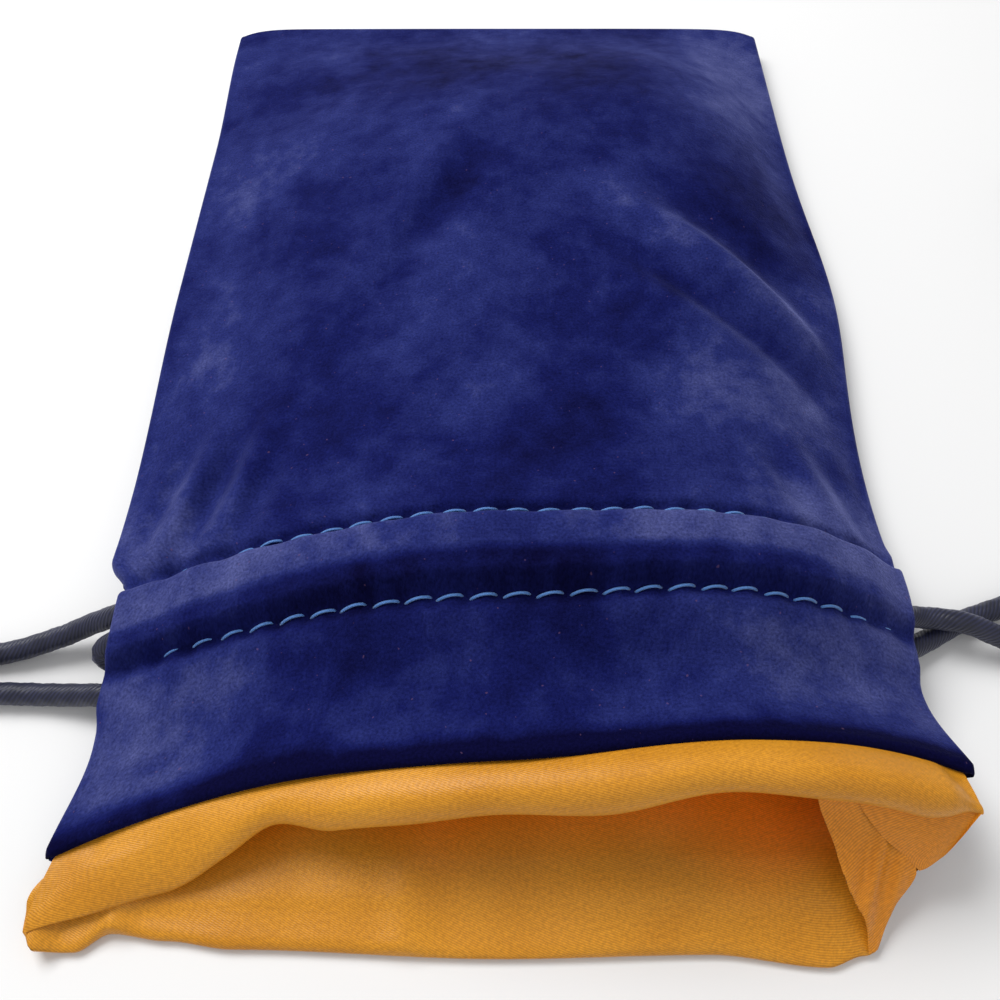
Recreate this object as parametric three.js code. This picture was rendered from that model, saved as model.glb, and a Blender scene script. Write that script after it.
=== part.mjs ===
// Drawstring dice bag, about 4 x 6 1/2 in, lying on its back.
// Millimetres, +Z up. The closed base is at +Y, the mouth at -Y, the floor at z = 0.
import * as THREE from "three";
import { mergeVertices } from "three/addons/utils/BufferGeometryUtils.js";

// ---- driving dimensions -------------------------------------------------
const HALF_L = 83; // half of the length over the back layer
const HALF_W = 47.9; // half width of a cloth panel, seams outside it
const SHELL = 1.2; // velvet with its pile
const LINING = 0.6; // satin
const GAP = 0.35; // air between two layers
const SIDE = 4.6; // four layers stacked where front and back meet
const CROWN = 12.4; // how far the filled front rises above its sides
const FRONT_EDGE = -66.5; // velvet ends here on the front, at the middle
const BACK_EDGE = -77; // and here on the back
const RIM = 5; // satin turned out beyond the velvet
const CORD_D = 2.7; // satin cord
const CORD_GAP = 0.5; // a cord's clearance in its casing
const FRONT_ROWS = [-39.3, -49.2]; // the two stitch rows of the front casing
const BACK_ROWS = [-48.9, -59.2]; // and of the back casing
const THREAD_R = 0.3;
const KNOT_X = 96;
const KNOT_Y = 25;

// where the cords run through the casings: A is the left cord, B the right one
const FRONT_A = -42.6;
const FRONT_B = -46;
const BACK_B = -51.4;
const BACK_A = -54.9;
const STUB_X = 38; // a loop ends and its tails start here, inside the casing

// ---- small helpers ------------------------------------------------------
const V = (x, y, z) => new THREE.Vector3(x, y, z);
const clamp01 = (t) => Math.min(1, Math.max(0, t));
const smooth = (t) => {
  const c = clamp01(t);
  return c * c * (3 - 2 * c);
};
const bell = (d, w) => Math.exp(-((d / w) ** 2));
// 1 between lo and hi, falling to 0 over "soft" outside
const plateau = (y, lo, hi, soft) =>
  smooth((y - lo + soft) / soft) * smooth((hi + soft - y) / soft);

// ---- the shape of the cloth ---------------------------------------------
const halfWidth = (u, y) => HALF_W - (u < 0 ? 1.6 * bell(y + 42, 10) : 0);

// rise of the right side towards the mouth, where it stands open
const rightRise = (y) => 11 * smooth((-y - 54) / 18);

// outer height of the front layer at its side edge
const sideTop = (u, y) =>
  SIDE + 3 * bell(y + 45, 11) + rightRise(y) * smooth((u + 1) / 2);

const crown = (u) =>
  u < 0 ? (1 - Math.abs(u) ** 1.8) ** 1.25 : (1 - u ** 4) ** 1.3;

const frontHeight = (u, y) => {
  const rise = CROWN * smooth((HALF_L - y) / 46) ** 0.8 - 5.4 * smooth((-y - 40) / 26);
  return sideTop(u, y) + rise * crown(u);
};
// the casing puffs out over its cords between two pinched rows
const puff = (y) => 1.6 * plateau(y, FRONT_ROWS[1] + 1.8, FRONT_ROWS[0] - 1.8, 1.8);
const pinch = (rows, y, depth) => rows.reduce((s, r) => s + depth * bell(y - r, 1.2), 0);
const frontPinch = (y) => pinch(FRONT_ROWS, y, 0.8);
const backPinch = (u, y) => pinch(BACK_ROWS, y, 0.7) * (1 - curl(u));

// the front mouth edge runs back a little at the left, where it lies down
const edgeBow = (u) => (u < 0 ? 7 * Math.abs(u) ** 2.2 : 2.4 * u ** 6);
const bowShare = (y) => clamp01((60 - y) / (60 - FRONT_EDGE)) ** 3;
// the outer face of the front layer, without the casing's puff and stitch grooves
const frontBase = (u, y) => {
  const c = Math.min(0.9999, Math.max(-0.9999, u));
  const round = 1.6 * Math.abs(c) ** 12 * smooth((y - 70) / 12);
  const placed = y - edgeBow(c) * bowShare(y) - round;
  return V(c * halfWidth(c, y), placed, frontHeight(c, placed));
};
const frontPoint = (u, y) => frontBase(u, y).add(V(0, 0, puff(y) - frontPinch(y)));

// the back layer is flat on the floor, and curls up at the right of the mouth
const curl = (u) => (u > 0.66 ? ((u - 0.66) / 0.34) ** 2 : 0);
const backBase = (u, y) => {
  const recede = 10 * curl(u) * clamp01((-y - 40) / 43) ** 2;
  const placed = y + recede - 1.6 * Math.abs(u) ** 12 * smooth((y - 70) / 12);
  return V(u * halfWidth(u, y), placed, rightRise(placed) * curl(u));
};

// ---- solids -------------------------------------------------------------
function meshOf(positions, index) {
  const g = new THREE.BufferGeometry();
  g.setAttribute("position", new THREE.Float32BufferAttribute(positions, 3));
  g.setIndex(index);
  const p = g.attributes.position;
  const [a, b, c] = [V(0, 0, 0), V(0, 0, 0), V(0, 0, 0)];
  let volume = 0;
  for (let i = 0; i < index.length; i += 3) {
    a.fromBufferAttribute(p, index[i]);
    b.fromBufferAttribute(p, index[i + 1]);
    c.fromBufferAttribute(p, index[i + 2]);
    volume += a.dot(b.cross(c));
  }
  if (volume < 0) {
    for (let i = 0; i < index.length; i += 3)
      [index[i], index[i + 1]] = [index[i + 1], index[i]];
    g.setIndex(index);
  }
  g.computeVertexNormals();
  return g;
}

// the upward normal of the surface point(u, y)
function normalAt(point, u, y) {
  const along = point(Math.min(1, u + 0.02), y).sub(point(Math.max(-1, u - 0.02), y));
  const across = point(u, y + 0.3).sub(point(u, y - 0.3));
  return along.cross(across).normalize();
}
// a closed sheet of cloth: top and bottom give its two faces' distances from
// the surface point(u, y), along the normal
function sheet(point, us, ys, top, bottom) {
  const faces = [[], []];
  for (const y of ys) {
    for (const u of us) {
      const n = normalAt(point, u, y);
      const p = point(u, y);
      faces[0].push(p.clone().addScaledVector(n, top(u, y)));
      faces[1].push(p.clone().addScaledVector(n, bottom(u, y)));
    }
  }
  const nu = us.length;
  const nv = ys.length;
  const at = (f, i, j) => f * nu * nv + j * nu + i;
  const index = [];
  const quad = (a, b, c, d) => index.push(a, b, c, a, c, d);
  for (let j = 0; j < nv - 1; j++)
    for (let i = 0; i < nu - 1; i++) {
      quad(at(0, i, j), at(0, i + 1, j), at(0, i + 1, j + 1), at(0, i, j + 1));
      quad(at(1, i, j), at(1, i, j + 1), at(1, i + 1, j + 1), at(1, i + 1, j));
    }
  for (let i = 0; i < nu - 1; i++) {
    quad(at(0, i + 1, 0), at(0, i, 0), at(1, i, 0), at(1, i + 1, 0));
    quad(at(0, i, nv - 1), at(0, i + 1, nv - 1), at(1, i + 1, nv - 1), at(1, i, nv - 1));
  }
  for (let j = 0; j < nv - 1; j++) {
    quad(at(0, 0, j), at(0, 0, j + 1), at(1, 0, j + 1), at(1, 0, j));
    quad(at(0, nu - 1, j + 1), at(0, nu - 1, j), at(1, nu - 1, j), at(1, nu - 1, j + 1));
  }
  return meshOf([...faces[0], ...faces[1]].flatMap((p) => p.toArray()), index);
}

// a tube with an elliptic section (side x up) along a list of points
function tube(points, side, up, sides, steps, closed = false) {
  const curve = new THREE.CatmullRomCurve3(points, closed, "centripetal");
  const positions = [];
  const rings = closed ? steps : steps + 1;
  const world = V(0, 0, 1);
  for (let k = 0; k < rings; k++) {
    const t = k / steps;
    const p = curve.getPointAt(t);
    const d = curve.getTangentAt(t);
    const s = d.clone().cross(world).normalize();
    const n = s.clone().cross(d).normalize();
    for (let i = 0; i < sides; i++) {
      const a = (2 * Math.PI * (i + 0.5)) / sides;
      positions.push(
        ...p
          .clone()
          .addScaledVector(s, side * Math.cos(a))
          .addScaledVector(n, up * Math.sin(a))
          .toArray(),
      );
    }
  }
  const index = [];
  const at = (k, i) => (k % rings) * sides + (i % sides);
  for (let k = 0; k < (closed ? rings : rings - 1); k++)
    for (let i = 0; i < sides; i++)
      index.push(at(k, i), at(k + 1, i), at(k + 1, i + 1), at(k, i), at(k + 1, i + 1), at(k, i + 1));
  if (!closed)
    for (let i = 1; i < sides - 1; i++) {
      index.push(at(0, 0), at(0, i), at(0, i + 1));
      index.push(at(rings - 1, 0), at(rings - 1, i + 1), at(rings - 1, i));
    }
  return meshOf(positions, index);
}

const range = (from, to, n) =>
  Array.from({ length: n + 1 }, (_, i) => from + ((to - from) * i) / n);

const VELVET = new THREE.MeshStandardMaterial({ color: 0x1e2070, roughness: 0.95 });
const SATIN = new THREE.MeshStandardMaterial({ color: 0xd6902f, roughness: 0.45 });
const THREAD = new THREE.MeshStandardMaterial({ color: 0x5082c8, roughness: 0.6 });
const CORD = new THREE.MeshStandardMaterial({ color: 0x282d41, roughness: 0.5 });

const bag = new THREE.Group();
bag.name = "drawstring_dice_bag";
const add = (name, geometry, material) => {
  const m = new THREE.Mesh(geometry, material);
  m.name = name;
  bag.add(m);
};

// ---- velvet shell -------------------------------------------------------
const US = [
  -1, -0.95, -0.88, -0.79, -0.68, -0.55, -0.4, -0.25, -0.1, 0.05, 0.2, 0.35, 0.5,
  0.62, 0.72, 0.8, 0.87, 0.93, 0.97, 1,
];
const casingYs = ([a, b]) => [
  a + 3, a + 1.4, a, a - 0.9, a - 1.9, (a + b) / 2, b + 1.9, b + 0.9, b, b - 1.4, b - 3,
];
const FRONT_YS = [
  81.1, 78.6, 74, 68, 60, 50, 38, 24, 8, -8, -22, -31, ...casingYs(FRONT_ROWS),
  -54.5, -57, -60, -63.2, FRONT_EDGE,
];
const BACK_YS = [81.1, 74, 62, 40, 10, -20, -38, ...casingYs(BACK_ROWS), -66, -71, BACK_EDGE];
add(
  "front_shell",
  sheet(frontBase, US, FRONT_YS, (u, y) => puff(y) - frontPinch(y), (u, y) => puff(y) - SHELL),
  VELVET,
);
add("back_shell", sheet(backBase, US, BACK_YS, () => SHELL, backPinch), VELVET);

// ---- satin lining -------------------------------------------------------
// narrower than the shell, narrower still at the casing, where the cords pass
const narrow = (u, y) => u * (0.945 - 0.165 * plateau(y, -60, -38, 5));
const deepF = (y) => 2.1 * plateau(y, -47.9, -40.8, 1.8);
const deepB = (y) => (CORD_D + 2 * CORD_GAP - GAP) * plateau(y, -57.4, -49.4, 2);
const frontRim = (y) => smooth((FRONT_EDGE - 0.4 - y) / 1.4);
const frontLining = (u, y) => {
  const p = frontBase(narrow(u, y), y);
  const out = clamp01((FRONT_EDGE - y) / RIM);
  p.z -= 2.6 * out ** 2 * smooth((p.z - 5) / 6);
  return p;
};
const L_FRONT_YS = [
  78.6, 74, 68, 60, 50, 38, 24, 8, -8, -22, -31, -36.3, -39.2, -40.8, -42.5, -44.25,
  -46.2, -48.1, -49.7, -52.2, -54.5, -57, -60, -63.2, -66.4, -67.2, -68.4, -69.8,
  FRONT_EDGE - RIM,
];
add(
  "front_lining",
  sheet(
    frontLining,
    US,
    L_FRONT_YS,
    (u, y) => -(SHELL + GAP + deepF(y)) * (1 - frontRim(y)) - 0.25 * frontRim(y),
    (u, y) => -(SHELL + GAP + LINING + deepF(y)) + 0.25 * frontRim(y),
  ),
  SATIN,
);
const backRim = (y) => smooth((BACK_EDGE - 0.4 - y) / 1.4);
const backLining = (u, y) => backBase(narrow(u, y), y);
const L_BACK_YS = [
  79.2, 70, 50, 20, -10, -38, -45, -47.4, -49.4, -53.4, -57.4, -59.4, -63, -70,
  -76.8, -77.7, -78.9, -80.6, -HALF_L,
];
add(
  "back_lining",
  sheet(
    backLining,
    US,
    L_BACK_YS,
    (u, y) => SHELL + GAP + LINING + deepB(y),
    (u, y) => (SHELL + GAP + deepB(y)) * (1 - backRim(y)) + 0.25 * backRim(y),
  ),
  SATIN,
);

// ---- stitch rows: two round each layer's casing -------------------------
// a thread lies "lift" above the surface, and every other point "swing" higher
const stitchRow = (point, y, lift, swing, radius, steps) => {
  const points = range(-0.95, 0.95, 56).map((u, k) =>
    point(u, y).add(V(0, 0, lift + (k % 2 ? swing : 0))),
  );
  return tube(points, radius, radius, 6, steps);
};
const backMiddle = (u, y) => backBase(u * 0.68, y);
FRONT_ROWS.forEach((y, i) => {
  const thread = stitchRow(frontPoint, y, 0.75, 0.15, THREAD_R, 112);
  add(`front_casing_stitch_row_${i + 1}`, thread, THREAD);
});
BACK_ROWS.forEach((y, i) => {
  const thread = stitchRow(backMiddle, y, 0.31, 0.02, 0.28, 60);
  add(`back_casing_stitch_row_${i + 1}`, thread, THREAD);
});

// ---- side seams, broken where the cords come out, and the base seam -----
const seamAt = (sign, y) => {
  const half = halfWidth(sign, y) + 0.3 + 0.9;
  return V(sign * half, y, SIDE / 2 + (sign > 0 ? rightRise(y) : 0));
};
const SEAM_YS = range(80, -34, 16);
const HEADER_L = [-61, -66, -70, -73.5];
const HEADER_R = [-57, -61, -65];
add("left_side_seam", tube(SEAM_YS.map((y) => seamAt(-1, y)), 0.9, 2.2, 10, 20), VELVET);
add("right_side_seam", tube(SEAM_YS.map((y) => seamAt(1, y)), 0.9, 2.2, 10, 20), VELVET);
add("left_header_seam", tube(HEADER_L.map((y) => seamAt(-1, y)), 0.9, 2.2, 10, 6), VELVET);
add("right_header_seam", tube(HEADER_R.map((y) => seamAt(1, y)), 0.9, 2.2, 10, 6), VELVET);
const baseSeamAt = (x) =>
  V(x, HALF_L - 0.7 - 1.6 * Math.abs(x / HALF_W) ** 12, SIDE / 2);
add("base_seam", tube(range(-46.6, 46.6, 12).map(baseSeamAt), 0.7, 2.2, 10, 24), VELVET);

// ---- the two drawcords --------------------------------------------------
const R = CORD_D / 2;
const frontRun = (x, y) => {
  const u = x / HALF_W;
  const n = normalAt(frontBase, u, y);
  return frontBase(u, y).addScaledVector(V(n.x, 0, n.z).normalize(), puff(y) - SHELL - CORD_GAP - R);
};
const LAY = SHELL + CORD_GAP + R; // a cord's height in the back casing
const leftLoop = [
  ...[-37.2, -30, -20, -10, 0, 10, 20, 30, 36].map((x) => frontRun(x, FRONT_A)),
  V(39.4, -42.7, 9.7),
  V(40.6, -43.9, 7.4),
  V(40.6, -46.2, 6.15),
  V(40.6, -51, 6.15),
  V(40.4, -53.6, 5.2),
  V(38.6, -55.2, 3.4),
  ...[35, 24, 8, -8, -24, -37.2].map((x) => V(x, BACK_A, LAY)),
];
const rightLoop = [
  ...[37.2, 30, 20, 10, 0, -10, -20, -30, -38, -42.5].map((x) => frontRun(x, FRONT_B)),
  V(-45.9, -49.2, 5.5),
  V(-47.4, -50.1, 4.2),
  V(-45.9, -51, 3.2),
  V(-42.5, BACK_B, LAY),
  ...[-36, -20, 0, 20, 37.2].map((x) => V(x, BACK_B, LAY)),
];
add("left_cord_loop", tube(leftLoop, R, R, 8, 96), CORD);
add("right_cord_loop", tube(rightLoop, R, R, 8, 96), CORD);

// each cord's two ends leave at its own side and lie on the floor to its knot
const tails = {
  left_cord_front_tail: [
    ...[-STUB_X, -42, -45.5].map((x) => frontRun(x, FRONT_A)),
    V(-50, -46.2, 3.9), V(-54, -47.3, 2.6), V(-60.7, -48.9, 1.5), V(-68, -49.2, R),
    V(-76, -46.6, R), V(-83, -40.5, R), V(-88, -31, R), V(-91, -18, R),
    V(-92.6, -3, R), V(-93.6, 10, R), V(-94.6, 18.2, 2.4),
  ],
  left_cord_back_tail: [
    ...[-STUB_X, -42, -46].map((x) => V(x, BACK_A, LAY)),
    V(-50, -54.6, 2.2), V(-56, -54.2, R), V(-64, -54, R), V(-73, -53.4, R),
    V(-82, -50, R), V(-89.6, -43, R), V(-94.6, -32, R), V(-97.4, -18, R),
    V(-98.6, -3, R), V(-98.6, 10, R), V(-97.8, 18.2, 2.4),
  ],
  right_cord_front_tail: [
    ...[STUB_X, 42, 45.5].map((x) => frontRun(x, FRONT_B)),
    V(51, -45.4, 4.3), V(56.6, -46.2, 4.4), V(61.5, -47.6, 3), V(68, -49.2, 1.6),
    V(76, -49.4, R), V(84, -46, R), V(90.4, -38.5, R), V(94.8, -27, R),
    V(97, -13, R), V(97.9, 2, R), V(98, 11, R), V(97.6, 18.2, 2.4),
  ],
  right_cord_back_tail: [
    V(STUB_X, BACK_B, LAY), V(43, BACK_B, LAY), V(47, -50.2, 2.95),
    V(52.2, -47.6, 1.7), V(57, -45, R), V(63, -42.8, R), V(71, -40, R),
    V(79, -35.5, R), V(85.4, -28, R), V(89.4, -17, R), V(91.6, -4, R),
    V(93, 9, R), V(94.4, 18.2, 2.4),
  ],
};
for (const [name, points] of Object.entries(tails))
  add(name, tube(points, R, R, 8, 54), CORD);

// the closed outer shape of an overhand knot, with a slight twist to its turns
function knotBody(x, y, z) {
  const ball = new THREE.SphereGeometry(1, 20, 14);
  ball.deleteAttribute("normal");
  ball.deleteAttribute("uv");
  const body = mergeVertices(ball, 1e-3);
  const p = body.attributes.position;
  for (let i = 0; i < p.count; i++) {
    const q = V(0, 0, 0).fromBufferAttribute(p, i);
    const twist = 1 + 0.09 * Math.sin(3 * Math.atan2(q.z, q.x) + 4 * q.y);
    p.setXYZ(i, x + q.x * 4 * twist, y + q.y * 4.9, z + q.z * 3.6 * twist);
  }
  return meshOf(Array.from(p.array), Array.from(body.index.array));
}

// overhand knots and the cut ends beyond them
for (const [side, sign] of [["left", -1], ["right", 1]]) {
  add(`${side}_cord_knot`, knotBody(sign * KNOT_X, KNOT_Y - 0.2, 3.95), CORD);
  const end = (x0, x1, y1) => [V(sign * x0, 31.2, 2.6), V(sign * (x0 + x1) / 2, 34.5, 1.7), V(sign * x1, y1, R)];
  add(`${side}_cord_end_1`, tube(end(94.3, 91.6, 41), R, R, 8, 8), CORD);
  add(`${side}_cord_end_2`, tube(end(97.8, 99.8, 43), R, R, 8, 8), CORD);
}

export default bag;
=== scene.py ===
# Drawstring dice bag: velvet shell, satin lining, stitched casing and two drawcords.
# Shapes are worked out in millimetres in the frame's axes, and scaled to metres. The bag lies
# on its back with its mouth towards -Y. A place on it is (u, y): u is the share of the half
# width, from -1 at the left seam to 1 at the right one, and y runs along the bag.
import math

import bpy
import numpy as np
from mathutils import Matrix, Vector


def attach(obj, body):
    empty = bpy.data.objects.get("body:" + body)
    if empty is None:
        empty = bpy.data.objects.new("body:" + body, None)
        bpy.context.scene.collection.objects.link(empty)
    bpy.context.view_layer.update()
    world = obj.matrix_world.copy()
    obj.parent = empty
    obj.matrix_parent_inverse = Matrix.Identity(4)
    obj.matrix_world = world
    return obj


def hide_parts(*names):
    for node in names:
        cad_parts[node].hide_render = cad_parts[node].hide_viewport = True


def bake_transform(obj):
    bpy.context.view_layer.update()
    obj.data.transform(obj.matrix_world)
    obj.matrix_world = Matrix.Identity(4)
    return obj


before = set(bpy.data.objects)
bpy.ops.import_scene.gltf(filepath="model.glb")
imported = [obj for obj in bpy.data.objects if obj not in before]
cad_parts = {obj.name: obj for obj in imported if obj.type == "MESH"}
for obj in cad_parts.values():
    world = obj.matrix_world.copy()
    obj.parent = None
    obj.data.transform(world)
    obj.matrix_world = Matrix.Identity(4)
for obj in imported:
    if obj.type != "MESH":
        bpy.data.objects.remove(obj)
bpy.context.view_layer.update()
MM = 0.001

# ---- dimensions, in step with the CAD source ----
HALF_LENGTH = 83.0
SIDE_HEIGHT = 4.6  # the front velvet's height at its sides
CROWN_HEIGHT = 12.4  # and how much higher its middle is
FRONT_HALF = 48.1  # half widths at the mouth: front velvet, satin and back velvet
SATIN_HALF = 47.9
BACK_HALF = 47.6
FRONT_EDGE = -66.5  # where the velvet ends at the mouth
BACK_EDGE = -77.0
BASE_ROW = 81.6  # where the velvet turns over at the base
SEAM_HEIGHT = 2.3
LINING_HEIGHT = 2.3  # of the back lining inside the bag
FRONT_ROWS = (-39.3, -49.2)  # the lockstitch rows of the two casings
BACK_ROWS = (-48.9, -59.2)
LEFT_CORD_FRONT, LEFT_CORD_BACK = -42.6, -54.9  # where the cords run in the casings
RIGHT_CORD_FRONT, RIGHT_CORD_BACK = -46.0, -51.4
STITCH = 3.6
CORD_RADIUS = 1.35
CORD_GIRTH = 8.5
PANEL = (0.051, 0.168)  # the cut size of each half of a cloth panel, in metres
CORD_DEPTH = 3.05  # the cord's line below the front casing's face, and above the table at the back
KNOT_X, KNOT_Y, KNOT_Z = 96.0, 25.0, 3.95  # the right knot's middle

# ---- looks that several sections share ----
UNSHADED_SATIN = 0.45  # the satin's "pile" value out in the light, with no painted shade; it falls to 0 deep in the mouth, where the painted shade is full
SHADED_CORNER_SATIN = 0.33  # and the same for the folded-in corner, which is given a little painted shade
SEAM_PILE = 0.3
BLACK, WHITE = (0, 0, 0), (1, 1, 1)


# ---- curves ----
def smooth(t):
    """0 below 0, 1 above 1 and an even S between them."""
    t = np.clip(t, 0.0, 1.0)
    return t * t * (3 - 2 * t)


def bell(distance, width):
    return np.exp(-((distance / width) ** 2))


def plateau(y, low, high, soft):
    """1 from low to high, and 0 from soft mm outside them."""
    return smooth((y - low + soft) / soft) * smooth((high + soft - y) / soft)


def ripple(x, y, seed, size):
    """Smooth seeded noise, about -1 to 1, with features of about size mm."""
    rng = np.random.default_rng(seed)
    total = 0.0
    for _ in range(9):
        angle = rng.uniform(0, math.pi)
        pace = rng.uniform(0.5, 1.5)
        phase = rng.uniform(0, 6.28)
        distance = x * math.cos(angle) + y * math.sin(angle)
        total = total + np.sin(distance * pace * 2 * math.pi / (2.2 * size) + phase)
    return total / 3.2


def steps(*spans):
    """Values from spans of (from, to, count), joined without repeats."""
    values = [np.linspace(start, end, count, endpoint=False) for start, end, count in spans]
    return np.concatenate(values + [[spans[-1][1]]])


def through(x, controls):
    """A smooth curve through a few (x, value) control points."""
    known = np.array(controls, float)
    inside = np.clip(x, known[0, 0], known[-1, 0])
    k = np.clip(np.searchsorted(known[:, 0], inside) - 1, 0, len(known) - 2)
    t = smooth((inside - known[k, 0]) / (known[k + 1, 0] - known[k, 0]))
    return known[k, 1] * (1 - t) + known[k + 1, 1] * t


def run_lengths(line):
    """How far along a line each of its points lies."""
    return np.r_[0, np.cumsum(np.linalg.norm(np.diff(line, axis=0), axis=1))]


def resample(line, count):
    """The same line as count points, evenly spaced along it."""
    lengths = run_lengths(line)
    wanted = np.linspace(0, lengths[-1], count)
    return np.stack([np.interp(wanted, lengths, values) for values in line.T], 1)


def spline_points(points, step):
    """A Catmull-Rom curve through points, resampled at about step mm."""
    p = np.array(points, float)
    p = np.vstack([2 * p[0] - p[1], p, 2 * p[-1] - p[-2]])
    t = np.linspace(0, 1, 24, endpoint=False)[:, None]
    pieces = []
    for i in range(1, len(p) - 2):
        a, b, c, d = p[i - 1 : i + 3]
        square = (2 * a - 5 * b + 4 * c - d) * t**2
        cube = (3 * b - a - 3 * c + d) * t**3
        pieces.append(0.5 * (2 * b + (c - a) * t + square + cube))
    curve = np.vstack(pieces + [p[-2][None]])
    count = max(int(round(run_lengths(curve)[-1] / step)), 4)
    return resample(curve, count + 1)


def section(points, count):
    """A flat section's corners (a, b) as a smooth line of count points."""
    corners = np.array(points, float)
    curve = spline_points(np.c_[corners, 0 * corners[:, :1]], 0.2)
    return resample(curve[:, :2], count)


# ---- camera ----
def add_camera(place, tilt, lens):
    """A camera on the middle line; tilt is its angle from straight down, in degrees."""
    camera = bpy.data.objects.new("camera", bpy.data.cameras.new("camera"))
    camera.data.sensor_width = 36.0
    camera.data.lens = lens
    camera.data.clip_start = 0.005
    camera.location = place
    camera.rotation_euler = (math.radians(tilt), 0.0, 0.0)
    bpy.context.scene.collection.objects.link(camera)
    bpy.context.scene.camera = camera


add_camera(place=(0.0, -0.0954, 0.1076), tilt=33.0, lens=33.5)
bpy.context.scene.view_settings.view_transform = "Standard"


# ---- meshes ----
def link(name, mesh, material):
    obj = bpy.data.objects.new(name, mesh)
    bpy.context.scene.collection.objects.link(obj)
    mesh.materials.append(material)
    return obj


def make_object(name, points, faces, uvs, pile, material, normals=None):
    """A smooth object from points in mm, with a UV and a "pile" value for each point.

    On velvet the value, from 0 to 1, sets how light and sheeny the pile is: random and brushed patches, with
    painted sheen, light and shade. On satin
    it is a painted shade: 0.45 out in the open, falling to 0 deep in the mouth. Cord and thread don't use it.
    """
    mesh = bpy.data.meshes.new(name)
    mesh.from_pydata((points * MM).tolist(), [], faces)
    corners = np.empty(len(mesh.loops), np.int32)
    mesh.loops.foreach_get("vertex_index", corners)
    layer = mesh.uv_layers.new(name="cloth")
    layer.data.foreach_set("uv", uvs[corners].astype(np.float32).ravel())
    mesh.polygons.foreach_set("use_smooth", np.ones(len(mesh.polygons), bool))
    if normals is not None:
        mesh.normals_split_custom_set_from_vertices(normals.tolist())
    values = mesh.attributes.new("pile", "FLOAT", "POINT")
    values.data.foreach_set("value", np.asarray(pile, np.float32))
    return link(name, mesh, material)


def grid_normals(grid):
    normals = np.cross(np.gradient(grid, axis=1), np.gradient(grid, axis=0))
    return normals / np.maximum(np.linalg.norm(normals, axis=2, keepdims=True), 1e-12)


def grid_quads(grid, first=0):
    """The faces of a (rows, columns, 3) grid whose points are numbered from first."""
    rows, columns = grid.shape[:2]
    index = np.arange(rows * columns).reshape(rows, columns) + first
    corners = (index[:-1, :-1], index[:-1, 1:], index[1:, 1:], index[1:, :-1])
    return np.stack(corners, -1).reshape(-1, 4)


def halves(name, grid, uvs, pile, material, flip):
    """A cloth grid as a left and a right half. Both take the whole grid's normals, so that
    they meet without a line."""
    normals = grid_normals(grid)
    if flip:
        normals = -normals
    middle = grid.shape[1] // 2
    objects = []
    for side, columns in (("left", slice(0, middle + 1)), ("right", slice(middle, None))):
        quads = grid_quads(grid[:, columns])
        if flip:
            quads = quads[:, ::-1]
        points = grid[:, columns].reshape(-1, 3)
        half_uvs = uvs[:, columns].reshape(-1, 2)
        half_pile = pile[:, columns].ravel()
        half_normals = normals[:, columns].reshape(-1, 3)
        objects.append(
            make_object(f"{name}_{side}", points, quads.tolist(), half_uvs, half_pile, material, half_normals)
        )
    return objects


def merge(name, parts, pile, material):
    """Several (grid, uvs) parts as one cloth object, with smooth normals within each part."""
    points, faces, uvs, normals = [], [], [], []
    first = 0
    for grid, grid_uvs in parts:
        points.append(grid.reshape(-1, 3))
        faces.append(grid_quads(grid, first))
        uvs.append(grid_uvs.reshape(-1, 2))
        normals.append(grid_normals(grid).reshape(-1, 3))
        first += len(points[-1])
    values = np.full(first, pile)
    quads = np.vstack(faces).tolist()
    return make_object(name, np.vstack(points), quads, np.vstack(uvs), values, material, np.vstack(normals))


def patch(curves, columns, rows):
    """A grid through a few curves, each given by its points from its bottom up."""
    lines = np.array([resample(spline_points(curve, 0.25), rows) for curve in curves])
    grid = np.array([resample(spline_points(lines[:, k], 0.15), columns) for k in range(rows)])
    across = np.linalg.norm(np.diff(grid, axis=1), axis=2).mean(0)
    along = np.linalg.norm(np.diff(grid, axis=0), axis=2).mean(1)
    u, v = np.meshgrid(np.r_[0, np.cumsum(across)], np.r_[0, np.cumsum(along)])
    return grid, np.stack([u, v], -1) * MM


def cross_axes(directions):
    """Two axes square to a line at each of its points, with no sudden turn between them."""
    first = np.cross(directions, (0, 0, 1.0))
    steep = np.linalg.norm(first, axis=1) < 0.2
    first[steep] = np.cross(directions[steep], (1.0, 0, 0))
    first /= np.linalg.norm(first, axis=1, keepdims=True)
    for k in range(1, len(first)):
        first[k] -= directions[k] * (first[k] @ directions[k])
        if first[k] @ first[k - 1] < 0:
            first[k] = -first[k]
        first[k] /= np.linalg.norm(first[k])
    return first, np.cross(first, directions)


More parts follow.
